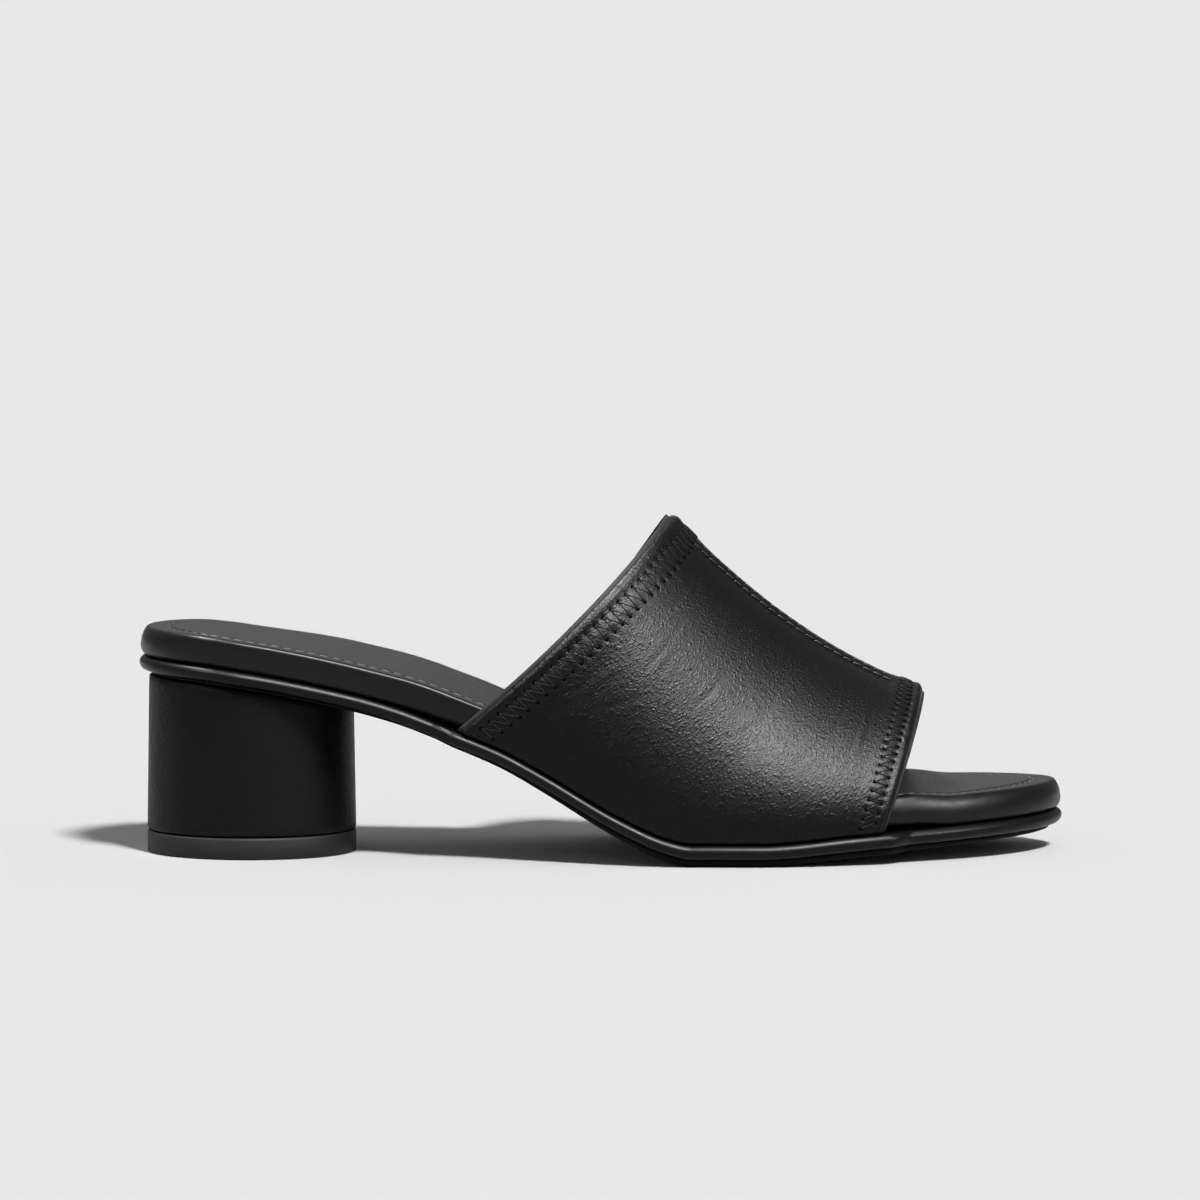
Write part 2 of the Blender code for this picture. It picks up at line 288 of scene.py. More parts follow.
def linear(code):
    channels = [int(code[i:i + 2], 16) / 255 for i in (1, 3, 5)]
    return tuple(c / 12.92 if c <= 0.04045 else ((c + 0.055) / 1.055) ** 2.4 for c in channels) + (1.0,)


def addNode(material, kind, settings=None, **inputs):
    # Adds a node, sets its own settings, and sets or links its inputs by name
    tree = material.node_tree
    node = tree.nodes.new(kind)
    for key, value in (settings or {}).items():
        setattr(node, key, value)
    for key, value in inputs.items():
        socket = node.inputs[int(key[2:])] if key.startswith("at") else node.inputs[key.replace("_", " ")]
        if isinstance(value, bpy.types.NodeSocket):
            tree.links.new(value, socket)
        else:
            socket.default_value = value
    return node


def newMaterial(name):
    material = bpy.data.materials.new(name)
    material.use_nodes = True
    return material, material.node_tree.nodes["Principled BSDF"]


def ramp(material, factor, stops):
    node = addNode(material, "ShaderNodeValToRGB", Fac=factor)
    elements = node.color_ramp.elements
    while len(elements) < len(stops):
        elements.new(0.5)
    for element, (at, colour) in zip(elements, stops):
        element.position = at
        element.color = colour
    return node.outputs["Color"]


def creases(material, vector, perMetre, width):
    # 1 on the pebbles, 0 in the fine winding creases between them
    noise = addNode(material, "ShaderNodeTexNoise", Vector=vector, Scale=perMetre,
                    Detail=2.0, Roughness=0.55)
    offset = addNode(material, "ShaderNodeMath", {"operation": "SUBTRACT"},
                     at0=noise.outputs["Fac"], at1=0.5)
    size = addNode(material, "ShaderNodeMath", {"operation": "ABSOLUTE"}, at0=offset.outputs[0])
    return addNode(material, "ShaderNodeMapRange", {"interpolation_type": "SMOOTHSTEP"},
                   Value=size.outputs[0], From_Min=0.0, From_Max=width, To_Min=0.0, To_Max=1.0).outputs[0]


grainSpec = {
    "pebblesPerMetre": 620, "pebbleEdge": 0.26,
    "wrinklesPerMetre": 1250, "wrinkleEdge": 0.25, "wrinkleShare": 0.35,
    "swellsPerMetre": 170, "swellShare": 0.6,
    "cloudsPerMetre": 60, "cloudShare": 0.6, "creaseDullness": 0.1,
}


def leather(name, dark, light, grain, depth, roughness, sheen, turn=0, stretch=1.0):
    # Aniline dyed calf, drum milled: near black, small pebbles parted by fine creases, under a satin wax;
    # the creases are painted a little darker as shade.
    # grain is the pebbles' size, depth their height in mm, and turn and stretch the way they are pulled
    spec = grainSpec
    material, shader = newMaterial(name)
    tree = material.node_tree
    objectPlace = addNode(material, "ShaderNodeTexCoord").outputs["Object"]
    pulled = addNode(material, "ShaderNodeMapping", {"vector_type": "TEXTURE"}, Vector=objectPlace,
                     Rotation=(0, math.radians(turn), 0), Scale=(stretch, 1, 1)).outputs["Vector"]
    pebbles = creases(material, pulled, spec["pebblesPerMetre"] / grain, spec["pebbleEdge"])
    wrinkles = creases(material, pulled, spec["wrinklesPerMetre"] / grain, spec["wrinkleEdge"])
    swell = addNode(material, "ShaderNodeTexNoise", Vector=objectPlace,
                    Scale=spec["swellsPerMetre"], Detail=2.0)
    cloud = addNode(material, "ShaderNodeTexNoise", Vector=objectPlace,
                    Scale=spec["cloudsPerMetre"], Detail=4.0)
    relief = addNode(material, "ShaderNodeMath", {"operation": "MULTIPLY_ADD"},
                     at0=wrinkles, at1=spec["wrinkleShare"], at2=pebbles).outputs[0]
    height = addNode(material, "ShaderNodeMath", {"operation": "MULTIPLY_ADD"},
                     at0=swell.outputs["Fac"], at1=spec["swellShare"], at2=relief).outputs[0]
    bump = addNode(material, "ShaderNodeBump", Height=height, Strength=1.0, Distance=depth * mm)
    tree.links.new(bump.outputs["Normal"], shader.inputs["Normal"])
    # The colour: a random cloudy tone, plus painted shade that makes the fine creases a little darker than
    # the pebbles
    cloudAndCreaseShade = addNode(material, "ShaderNodeMath", {"operation": "MULTIPLY_ADD"},
                   at0=cloud.outputs["Fac"], at1=spec["cloudShare"], at2=pebbles).outputs[0]
    colour = ramp(material, cloudAndCreaseShade, [(0.2, linear(dark)), (1.0, linear(light))])
    tree.links.new(colour, shader.inputs["Base Color"])
    rough = addNode(material, "ShaderNodeMapRange", Value=pebbles, From_Min=0.0, From_Max=1.0,
                    To_Min=roughness + spec["creaseDullness"], To_Max=roughness).outputs[0]
    tree.links.new(rough, shader.inputs["Roughness"])
    shader.inputs["Specular IOR Level"].default_value = sheen
    return material


def plain(name, colour, roughness, specular):
    # Matte moulded rubber or spun thread: one dye all through, a fine uneven surface
    material, shader = newMaterial(name)
    objectPlace = addNode(material, "ShaderNodeTexCoord").outputs["Object"]
    grit = addNode(material, "ShaderNodeTexNoise", Vector=objectPlace, Scale=1800.0, Detail=3.0)
    bump = addNode(material, "ShaderNodeBump", Height=grit.outputs["Fac"], Strength=0.5, Distance=0.08 * mm)
    material.node_tree.links.new(bump.outputs["Normal"], shader.inputs["Normal"])
    shader.inputs["Base Color"].default_value = linear(colour)
    shader.inputs["Roughness"].default_value = roughness
    shader.inputs["Specular IOR Level"].default_value = specular
    return material


# The vamp: fine pebbles pulled slantwise over the foot, which break the sheen into small glints
milledLeather = leather("milled_calf_leather", "#020202", "#060606", grain=0.70, depth=0.074,
                        roughness=0.28, sheen=0.165, turn=-55, stretch=1.8)
# The footbed's wrap: pulled smooth over the padding, so that its shoulder takes one long thin glint
footbedLeather = leather("footbed_cover_leather", "#030303", "#070707", grain=1.0, depth=0.008,
                         roughness=0.28, sheen=0.25, stretch=1.6)
# The sock: dull and dark brown grey, a little lighter than all the rest
sockLeather = leather("sock_lining_leather", "#1e1b1a", "#2d2a27", grain=0.8, depth=0.02,
                      roughness=0.42, sheen=0.25)
# The rand: thin leather stretched tight round a bead, with a soft line of light along it
wrapLeather = leather("wrapped_rand_leather", "#030303", "#070707", grain=1.0, depth=0.0015,
                      roughness=0.30, sheen=0.17, stretch=1.5)
# The heel's cover: almost matt, with faint upright grain
heelLeather = leather("heel_cover_leather", "#020202", "#060606", grain=0.8, depth=0.05,
                      roughness=0.40, sheen=0.14, turn=90, stretch=1.6)
liningKnit = plain("stretch_lining_knit", "#0e0d0e", 0.7, 0.3)    # a soft dark inside without glints
soleRubber = plain("outsole_rubber", "#060606", 0.7, 0.15)    # a dead black line under the bead
heelRubber = plain("heel_tip_rubber", "#151515", 0.6, 0.25)    # a dark grey foot, lighter than the heel
thread = plain("bonded_polyester_thread", "#040404", 0.55, 0.12)    # black zigzags, darker than the leather
seamThread = plain("waxed_seam_thread", "#242424", 0.4, 0.4)    # small light dashes along the ridge
sockThread = plain("sock_stitch_thread", "#2c2927", 0.45, 0.5)    # a faint light row round the sock
holeShade = plain("needle_hole_shadow", "#020202", 0.9, 0.02)    # the shadow inside each needle hole
print("materials ready")


# Footbed

# side and shoulder are rows of inset and share of the height, from the underside up and over
footbedSpec = {
    "side": ((1.3, 0.0), (0.7, 0.05), (0.3, 0.13), (0.08, 0.22), (0.0, 0.34)),
    "shoulder": ((0.0, 0.60), (0.02, 0.76), (0.07, 0.86), (0.16, 0.915), (0.33, 0.955), (0.6, 0.98),
                 (1.1, 1.0), (2.0, 1.012), (3.6, 1.01)),
    "flat": (5.2, 6.2, 6.8, 7.2, 7.6, 8.2, 9.2, 11.0, 13.5),
    "grooveAt": 7.2, "grooveDepth": 0.28, "grooveWidth": 0.8, "grooveFrom": 3.6,
    "puff": 1.7, "puffFrom": 0.3, "puffReach": 5.0, "puffFade": 4.0,
    "toePuff": (0.68, 0.12), "heelPuff": (0.07, 0.06),
    "columns": 420, "inner": 26,
}


def footbedTop(x, y):
    return footbedBottom(x, y) + last["footbed"]


def noReach(xs, side):
    return 0.0 * xs


def makeFootbed():
    spec = footbedSpec
    over = spec["shoulder"] + tuple((inset, 1.0) for inset in spec["flat"])

    def sinkGroove(points, underCount, sideCount):
        insets = [inset for inset, height in spec["side"] + over]
        for row, inset in enumerate(insets):
            sunk = -spec["grooveDepth"] * math.exp(-((inset - spec["grooveAt"]) / spec["grooveWidth"]) ** 2)
            if inset >= spec["grooveFrom"]:
                for at in (row, 2 * sideCount + spec["inner"] - 2 - row):
                    points[:, at, 2] += sunk
        return points

    def roundEnds(xs, inset, height):
        # The padding rolls over more gently round the toe and the back of the heel
        toeStart, toeStep = spec["toePuff"]
        heelEnd, heelStep = spec["heelPuff"]
        ends = ease((stationOf(xs) - toeStart) / toeStep) + ease((heelEnd - stationOf(xs)) / heelStep)
        raised = ((height - spec["puffFrom"]) / (1 - spec["puffFrom"])) ** 2
        fade = math.exp(-inset / spec["puffFade"]) * (inset < spec["puffReach"])
        return inset + spec["puff"] * ends * raised * fade

    points = platePoints(spec["columns"], noReach, spec["side"], over, footbedBottom, footbedTop,
                         spec["inner"], sinkGroove, roundEnds)
    piece = gridPiece("footbed_cover", points, footbedLeather)
    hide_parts("footbed")
    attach(piece, "root")
    return piece


sockSpec = {
    "gap": 0.9, "sunk": 0.3, "proud": 0.12, "inner": 24,
    "side": ((0.5, 0.0), (0.1, 0.4)), "shoulder": ((0.0, 0.6), (0.15, 0.85), (0.6, 1.0)),
}


def makeSock():
    # The sock lining: a thin sheet inside the stitched channel
    spec = sockSpec
    inset = footbedSpec["grooveAt"] + spec["gap"]
    side = [(inset + more, height) for more, height in spec["side"]]
    shoulder = [(inset + more, height) for more, height in spec["shoulder"]]

    def under(x, y):
        return footbedTop(x, y) - spec["sunk"]

    def over(x, y):
        return footbedTop(x, y) + spec["proud"]

    points = platePoints(footbedSpec["columns"], noReach, side, shoulder, under, over, spec["inner"])
    piece = gridPiece("footbed_sock", points, sockLeather)
    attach(piece, "root")
    return piece


footbed = makeFootbed()
sock = makeSock()
print("footbed", len(footbed.data.polygons), len(sock.data.polygons))


# Rand and outsole

randSpec = {
    "edge": ((1.6, 0.0), (1.0, 0.06), (0.4, 0.2), (0.1, 0.35), (0.0, 0.5), (0.1, 0.65), (0.4, 0.8),
             (1.0, 0.94), (1.6, 1.0)),
    "shelf": 0.6, "step": 7.0, "columns": 420,
}
outsoleSpec = {
    "edge": ((0.7, 0.0), (0.25, 0.08), (0.0, 0.3), (0.0, 0.7), (0.05, 0.95), (0.3, 1.0)),
    "setIn": 3.4, "columns": 300,
}


def randReach(xs, side):
    standOut = vamp["clearance"] + vamp["wall"] + randSpec["shelf"]
    return last["gap"] + underVamp(xs, side, randSpec["step"]) * (standOut - last["gap"])


def outsoleReach(xs, side):
    return randReach(xs, side) - outsoleSpec["setIn"]


def makeLayer(name, node, material, reach, spec, bottom, top):
    edge = spec["edge"]
    half = len(edge) // 2
    points = platePoints(spec["columns"], reach, edge[:half], edge[half:], bottom, top, 8)
    piece = gridPiece(name, points, material)
    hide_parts(node)
    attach(piece, "root")
    return piece


rand = makeLayer("rand_wrap", "midsole", wrapLeather, randReach, randSpec,
                 randBottom, randTop)
outsole = makeLayer("outsole_sheet", "outsole", soleRubber, outsoleReach, outsoleSpec,
                    outsoleBottom, outsoleTop)
print("sole layers", len(rand.data.polygons), len(outsole.data.polygons))


# Upper

def bezier(a, b, c, d, t):
    s = 1 - t
    return a * s ** 3 + 3 * b * s * s * t + 3 * c * s * t * t + d * t ** 3


def baseY(x, side):
    slope = (edgeY(x + 1, side) - edgeY(x - 1, side)) / 2
    return edgeY(x, side) + side * (vamp["clearance"] + vamp["wall"]) * np.hypot(1, slope)


def vampPoint(along, up, side):
    # along: 0 at the toe edge, 1 at the collar. up: 0 at the sole, 1 at the ridge
    baseX = place(mix(vamp["toe"][side], vamp["collar"][side], along))
    ridgeX = place(mix(vamp["toe"]["peak"], vamp["collar"]["peak"], along))
    sunk = vamp["ridgeHollow"] * along * (1 - along)
    ridgeZ = mix(vamp["toeHeight"], vamp["collarHeight"], along - sunk)
    rise = bezier(0.0, fullnessCurve(along), 1.0, 1.0, up)
    spread = bezier(1.0, 1.0 + bulgeCurve(along), breadthCurve(along), 0.0, up)
    baseZ = lastingBottom(baseX, baseY(baseX, side)) + 0.7 * last["lasting"]
    x = mix(baseX, ridgeX, rise) + 4 * vamp["collarHollow"] * along * rise * (1 - rise)
    y = mix(vamp["ridgeShift"], baseY(x, side), spread)
    return np.stack(np.broadcast_arrays(x, y, mix(baseZ, ridgeZ, rise)), axis=-1)


def vampLength(up, side):
    steps = np.linspace(0, 1, 13)
    points = vampPoint(steps[:, None], np.atleast_1d(up)[None, :], side)
    return np.linalg.norm(np.diff(points, axis=0), axis=2).sum(axis=0)


def vampNormal(along, up, side):
    step = 0.003
    high = np.minimum(up + step, 1.0)
    across = vampPoint(along, high, side) - vampPoint(along, high - 2 * step, side)
    across = np.where((np.asarray(up) >= 1.0)[..., None], np.array([0.0, -side, 0.0]), across)
    lengthwise = vampPoint(along + step, up, side) - vampPoint(along - step, up, side)
    normal = np.cross(lengthwise, across) * side
    return normal / np.linalg.norm(normal, axis=-1, keepdims=True)


# Rows of distance in from the edge and height over the plain wall, round the folded hem and back again
foldUnder = [(9.0, -1.15), (4.0, -1.15), (1.5, -1.25), (0.7, -1.38), (0.3, -1.42), (0.08, -1.32),
             (0.0, -1.15)]
foldOver = [(0.0, -0.95), (0.03, -0.74), (0.1, -0.56), (0.2, -0.40), (0.35, -0.20), (0.6, 0.04),
            (0.8, 0.18), (1.0, 0.29), (1.25, 0.40), (1.5, 0.47), (1.8, 0.50), (2.2, 0.46),
            (2.6, 0.38), (3.0, 0.31), (3.5, 0.27), (4.2, 0.31), (4.8, 0.37), (5.4, 0.40),
            (6.0, 0.40), (6.6, 0.37), (7.2, 0.32), (7.8, 0.27), (8.4, 0.21), (9.0, 0.15),
            (9.7, 0.09), (10.6, 0.03), (11.6, 0.0)]
hemEnd = foldOver[-1][0]

vampSpec = {
    "middle": 135, "across": 170, "wallInner": 14, "crowding": 1.05, "outerSkin": -0.6,
    "marginInward": (8.0, 4.0, 0.9), "marginLift": 0.45, "marginSpread": 0.4,
    "cornerOut": 0.25, "cornerDrop": 0.4,
}
seamSpec = {
    "aside": 5.6, "groove": 0.35, "grooveWidth": 0.45,
    "raised": 0.22, "raisedWidth": 3.0, "raisedStep": 1.2,
    "rowsAt": 2.2, "pulled": 0.12, "pulledWidth": 0.5,
}


def arcFromRidge(points):
    # Length of each point's way up to the ridge, for points that run from the sole to the ridge
    steps = np.linalg.norm(np.diff(points, axis=0), axis=1)
    return np.concatenate([np.cumsum(steps[::-1])[::-1], [0.0]])


# Soft creases of the worn-in leather on the side view: x, z, turn in degrees, length, width, depth
foldTable = (
    (116.0, 77.0, 82, 9, 0.8, 0.066),
    (118.5, 74.0, 70, 8, 0.8, 0.054),
    (114.5, 70.5, 50, 10, 0.8, 0.072),
    (111.5, 68.5, 42, 8, 0.8, 0.048),
    (104.0, 66.0, 34, 12, 0.9, 0.054),
    (100.5, 61.5, 36, 9, 0.8, 0.042),
    (90.0, 50.0, 30, 14, 0.9, 0.072),
    (87.5, 47.0, 24, 12, 0.9, 0.060),
    (93.5, 47.5, 32, 11, 0.9, 0.054),
    (107.0, 54.5, 45, 8, 0.8, 0.060),
    (109.5, 52.0, 52, 7, 0.8, 0.042),
    (121.5, 45.5, 50, 7, 0.8, 0.060),
    (118.5, 43.0, 46, 6, 0.8, 0.042),
    (79.0, 40.0, 20, 13, 1.0, 0.054),
    (162.5, 35.0, 72, 13, 0.9, 0.060),
    (159.0, 33.0, 66, 9, 0.8, 0.042),
    (155.0, 38.0, 62, 9, 0.9, 0.048),
    (147.0, 30.0, 38, 11, 0.9, 0.048),
    (131.0, 36.0, 28, 12, 0.9, 0.042),
    (112.0, 60.5, 55, 9, 0.8, 0.048),
    (98.0, 43.0, 15, 12, 1.0, 0.048),
    (124.0, 62.0, 70, 8, 0.8, 0.042),
)
foldRidge = {"height": 0.5, "aside": 1.7}


def foldRelief(points):
    # Each crease is a soft trough with a low ridge along both sides
    relief = np.zeros(len(points))
    for x, z, turn, length, width, depth in foldTable:
        angle = math.radians(turn)
        dx = points[:, 0] - x
        dz = points[:, 2] - z
        run = dx * math.cos(angle) + dz * math.sin(angle)
        aside = (dz * math.cos(angle) - dx * math.sin(angle)) / width
        fade = np.exp(-(2 * run / length) ** 4)
        ridges = foldRidge["height"] * np.exp(-(np.abs(aside) - foldRidge["aside"]) ** 2)
        relief += fade * depth * (ridges - np.exp(-aside ** 2))
    return relief


def seamRelief(points, side):
    # The joined leather lies a little proud of the vamp, with the seam as a groove in its middle
    spec = seamSpec
    away = side * arcFromRidge(points) + spec["aside"]
    raised = ease((spec["raisedWidth"] - np.abs(away)) / spec["raisedStep"] + 0.5) * spec["raised"]
    groove = np.exp(-(away / spec["grooveWidth"]) ** 2) * spec["groove"]
    pulled = np.exp(-((np.abs(away) - spec["rowsAt"]) / spec["pulledWidth"]) ** 2) * spec["pulled"]
    return raised - groove - pulled


def bandPoints(rows, across, reliefAt=None):
    # Rows of end, distance, share and height: at a distance from one edge, or a share between the hems
    ups = np.linspace(0, 1, across + 1) ** vampSpec["crowding"]
    halves = {}
    for side in (-1, 1):
        lengths = vampLength(ups, side)
        strips = []
        for end, distance, share, height in rows:
            if end == "toe":
                along = distance / lengths
            elif end == "collar":
                along = 1 - distance / lengths
            else:
                inner = hemEnd / lengths
                along = mix(inner, 1 - inner, share)
            point = vampPoint(along, ups, side)
            normal = vampNormal(along, ups, side)
            lift = height * np.ones_like(ups)
            if reliefAt and height > vampSpec["outerSkin"]:
                lift = lift + reliefAt(point, side, end)
            strip = point + normal * lift[:, None]
            # the lasting margin, turned in under the footbed
            foot = strip[0]
            margin = []
            for inward in vampSpec["marginInward"]:
                y = foot[1] - side * inward
                layer = vampSpec["marginLift"] + vampSpec["marginSpread"] * height / vamp["leather"]
                margin.append([foot[0], y, lastingBottom(foot[0], y) + layer])
            corner = foot - np.array([0, side * vampSpec["cornerOut"], vampSpec["cornerDrop"]])
            strips.append(np.vstack([margin, corner[None, :], strip]))
        halves[side] = np.stack(strips, axis=1)
    return np.concatenate([halves[-1], halves[1][-2::-1]], axis=0)


def outerRows():
    rows = [("toe", d, 0, h) for d, h in foldUnder + foldOver]
    rows += [("middle", 0, i / vampSpec["middle"], 0.0) for i in range(1, vampSpec["middle"])]
    rows += [("collar", d, 0, h) for d, h in reversed(foldUnder + foldOver)]
    steps = vampSpec["wallInner"]
    rows += [("middle", 0, 1 - i / steps, -vamp["leather"]) for i in range(1, steps)]
    rows.append(rows[0])
    return rows


liningSpec = {"gap": 0.08, "hem": 9.0, "round": 0.12, "inner": 24, "outer": 12, "across": 70}


def liningRows():
    spec = liningSpec
    inner = -vamp["wall"]
    outer = -vamp["leather"] - spec["gap"]
    show = -vamp["liningShow"]
    turned = [(spec["hem"], outer), (1.0, outer), (show + 0.25, outer),
              (show + 0.05, outer - spec["round"]), (show, (inner + outer) / 2),
              (show + 0.05, inner + spec["round"]),
              (show + 0.25, inner), (1.0, inner), (spec["hem"], inner)]
    rows = [("toe", d, 0, h) for d, h in turned]
    rows += [("middle", 0, i / spec["inner"], inner) for i in range(1, spec["inner"])]
    rows += [("collar", d, 0, h) for d, h in reversed(turned)]
    rows += [("middle", 0, 1 - i / spec["outer"], outer) for i in range(1, spec["outer"])]
    rows.append(rows[0])
    return rows


def closeEnds(piece):
    # Caps the two ends of the band, where its margin lies under the footbed
    mesh = bmesh.new()
    mesh.from_mesh(piece.data)
    loose = [edge for edge in mesh.edges if edge.is_boundary]
    bmesh.ops.holes_fill(mesh, edges=loose, sides=0)
    bmesh.ops.recalc_face_normals(mesh, faces=mesh.faces)
    mesh.to_mesh(piece.data)
    mesh.free()


def makeUpperLayer(name, rows, across, material, relief=None):
    piece = gridPiece(name, bandPoints(rows, across, relief), material)
    closeEnds(piece)
    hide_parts("upper")
    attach(piece, "root")
    return piece


# Stitches

stitchSpec = {
    "thread": 0.20, "sink": 0.45, "proud": 0.10,
    "collarRows": (3.4, 8.0), "collarPitch": 3.1,
    "toeRows": (3.5, 7.3), "toePitch": 2.6,
    "seamPitch": 2.9, "seamBite": 0.75, "seamEnds": 8.6, "seamSunk": 0.1,
    "footbedPitch": 3.3, "footbedBite": 0.72, "footbedThread": 0.22,
}
# Share of the way along a stitch, and its height as a share of how far it stands proud
stitchArch = ((0.06, 0.0), (0.2, 0.75), (0.5, 1.0), (0.8, 0.75), (0.94, 0.0))
holeSpec = {"radius": 0.55, "sunk": 0.10, "depth": 0.2, "sides": 6}
dimpleSpec = {"depth": 0.28, "radius": 0.75}
hemHeights = np.array(foldOver)


def hemHeight(distance):
    return float(np.interp(distance, hemHeights[:, 0], hemHeights[:, 1]))


def hemLine(end, distance):
    # A line round the vamp at one distance from its edge, from the lateral to the medial side of the sole
    ups = np.linspace(0, 1, 500)
    points = {}
    normals = {}
    for side in (-1, 1):
        lengths = vampLength(ups, side)
        along = distance / lengths if end == "toe" else 1 - distance / lengths
        points[side] = vampPoint(along, ups, side)
        normals[side] = vampNormal(along, ups, side)
        points[side] += normals[side] * (hemHeight(distance) + seamRelief(points[side], side))[:, None]
    joined = np.concatenate([points[-1], points[1][-2::-1]])
    return joined, np.concatenate([normals[-1], normals[1][-2::-1]])


def seamLine(aside):
    # A line along the ridge, at one distance to the lateral side of its highest line
    alongs = np.linspace(0.0, 1.0, 200)
    ups = np.linspace(0.5, 1.0, 160)
    height = seamSpec["raised"] - stitchSpec["seamSunk"]
    points = []
    normals = []
    for along in alongs:
        strip = vampPoint(along, ups, -1)
        arc = arcFromRidge(strip)
        up = np.interp(aside, arc[::-1], ups[::-1])
        normal = vampNormal(along, np.array([up]), -1)[0]
        points.append(vampPoint(along, np.array([up]), -1)[0] + normal * height)
        normals.append(normal)
    return np.array(points), np.array(normals)


def walk(points):
    return np.concatenate([[0.0], np.cumsum(np.linalg.norm(np.diff(points, axis=0), axis=1))])


def readLine(points, normals, walked, at):
    where = np.array([np.interp(at, walked, points[:, i]) for i in range(3)])
    normal = np.array([np.interp(at, walked, normals[:, i]) for i in range(3)])
    return where, normal / np.linalg.norm(normal)


def threadPiece(name, runs, radius, material):
    # Each run is the short arch of one stitch, up out of one hole, over the leather and into the next
    curve = bpy.data.curves.new(name, "CURVE")
    curve.dimensions = "3D"
    curve.bevel_depth = radius * mm
    curve.bevel_resolution = 1
    curve.use_fill_caps = True
    for run in runs:
        spline = curve.splines.new("POLY")
        spline.points.add(len(run) - 1)
        for point, where in zip(spline.points, run):
            point.co = (*(np.asarray(where) * mm), 1.0)
    curve.materials.append(material)
    piece = bpy.data.objects.new(name, curve)
    bpy.context.scene.collection.objects.link(piece)
    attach(piece, "root")
    return piece


def stitch(a, normalA, b, normalB):
    sink = -stitchSpec["sink"]
    arch = [(share, height * stitchSpec["proud"]) for share, height in stitchArch]
    heights = [(0.0, sink)] + arch + [(1.0, sink)]
    return [mix(a, b, share) + mix(normalA, normalB, share) * height for share, height in heights]


def zigzag(end, rows, pitch):
    # Stitches to and fro between two lines along the hem
    lines = []
    for distance in rows:
        points, normals = hemLine(end, distance)
        lines.append((points, normals, walk(points)))
    count = int(lines[0][2][-1] / (pitch / 2))
    holes = []
    for i in range(1, count):
        points, normals, walked = lines[i % 2]
        holes.append(readLine(points, normals, walked, walked[-1] * i / count))
    runs = [stitch(a[0], a[1], b[0], b[1]) for a, b in zip(holes, holes[1:])]
    return runs, holes


def runningStitch(points, normals, pitch, bite, ends):
    # Stitches one after another along a line: bite is the share of the pitch that shows on top
    walked = walk(points)
    length = walked[-1] - 2 * ends
    count = max(1, round(length / pitch))
    step = length / count
    runs = []
    holes = []
    for i in range(count):
        a = readLine(points, normals, walked, ends + step * (i + (1 - bite) / 2))
        b = readLine(points, normals, walked, ends + step * (i + (1 + bite) / 2))
        runs.append(stitch(a[0], a[1], b[0], b[1]))
        holes += [a, b]
    return runs, holes


def holePiece(name, holes, material):
    # Needle holes: a small disc painted black as the shade inside the hole, sunk in each dimple
    spec = holeSpec
    mesh = bmesh.new()
    for where, normal in holes:
        made = bmesh.ops.create_circle(mesh, cap_ends=True, segments=spec["sides"],
                                       radius=spec["radius"] * mm)
        turn = Vector(normal).to_track_quat("Z", "Y").to_matrix()
        for vert in made["verts"]:
            vert.co = turn @ vert.co + (Vector(where) - Vector(normal) * spec["sunk"]) * mm
        lower = bmesh.ops.extrude_face_region(mesh, geom=list(made["verts"][0].link_faces))["geom"]
        for item in lower:
            if isinstance(item, bmesh.types.BMVert):
                item.co -= Vector(normal) * spec["depth"] * mm
    piece = finishMesh(name, mesh, material)
    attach(piece, "root")
    return piece


collarRuns, collarHoles = zigzag("collar", stitchSpec["collarRows"], stitchSpec["collarPitch"])
toeRuns, toeHoles = zigzag("toe", stitchSpec["toeRows"], stitchSpec["toePitch"])
seamRuns = []
seamHoles = []
for aside in (seamSpec["aside"] - seamSpec["rowsAt"], seamSpec["aside"] + seamSpec["rowsAt"]):
    points, normals = seamLine(aside)
    runs, holes = runningStitch(points, normals, stitchSpec["seamPitch"], stitchSpec["seamBite"],
                                stitchSpec["seamEnds"])
    seamRuns += runs
    seamHoles += holes
stitchPlaces = np.array([where for where, normal in collarHoles + toeHoles + seamHoles])


def dimples(points):
    # The thread pulls a small dimple into the leather at each needle hole
    apart = np.linalg.norm(points[:, None, :] - stitchPlaces[None, :, :], axis=2)
    return -dimpleSpec["depth"] * np.exp(-(apart / dimpleSpec["radius"]) ** 2).sum(axis=1)


def vampRelief(points, side, end):
    relief = seamRelief(points, side) + dimples(points)
    return relief + foldRelief(points) if end == "middle" else relief


vampLeather = makeUpperLayer("vamp_leather", outerRows(), vampSpec["across"], milledLeather,
                             vampRelief)
vampLining = makeUpperLayer("vamp_lining", liningRows(), liningSpec["across"], liningKnit)
print("upper", len(vampLeather.data.polygons), len(vampLining.data.polygons))

vampThread = threadPiece("vamp_thread", collarRuns + toeRuns, stitchSpec["thread"], thread)
ridgeThread = threadPiece("seam_thread", seamRuns, stitchSpec["thread"], seamThread)
vampHoles = holePiece("vamp_needle_holes", collarHoles + toeHoles + seamHoles, holeShade)


def footbedStitchLine():
    # Once round the sock, in the bottom of the groove
    xs = outlineColumns(700)
    loop = []
    for side in (-1, 1):
        ys, nx, ny = outlineOutward(xs, side)
        px = xs - nx * footbedSpec["grooveAt"]
        py = ys - ny * footbedSpec["grooveAt"]
        strip = np.stack([px, py, footbedTop(px, py) - footbedSpec["grooveDepth"]], axis=-1)
        loop.append(strip if side < 0 else strip[-2::-1])
    points = np.concatenate(loop)
    normals = np.tile(np.array([0.0, 0.0, 1.0]), (len(points), 1))
    return points, normals


points, normals = footbedStitchLine()
footbedRuns = runningStitch(points, normals, stitchSpec["footbedPitch"], stitchSpec["footbedBite"], 0.0)[0]
footbedThread = threadPiece("footbed_thread", footbedRuns, stitchSpec["footbedThread"], sockThread)
print("stitches", len(collarRuns), len(toeRuns), len(seamRuns), len(footbedRuns))


# Heel

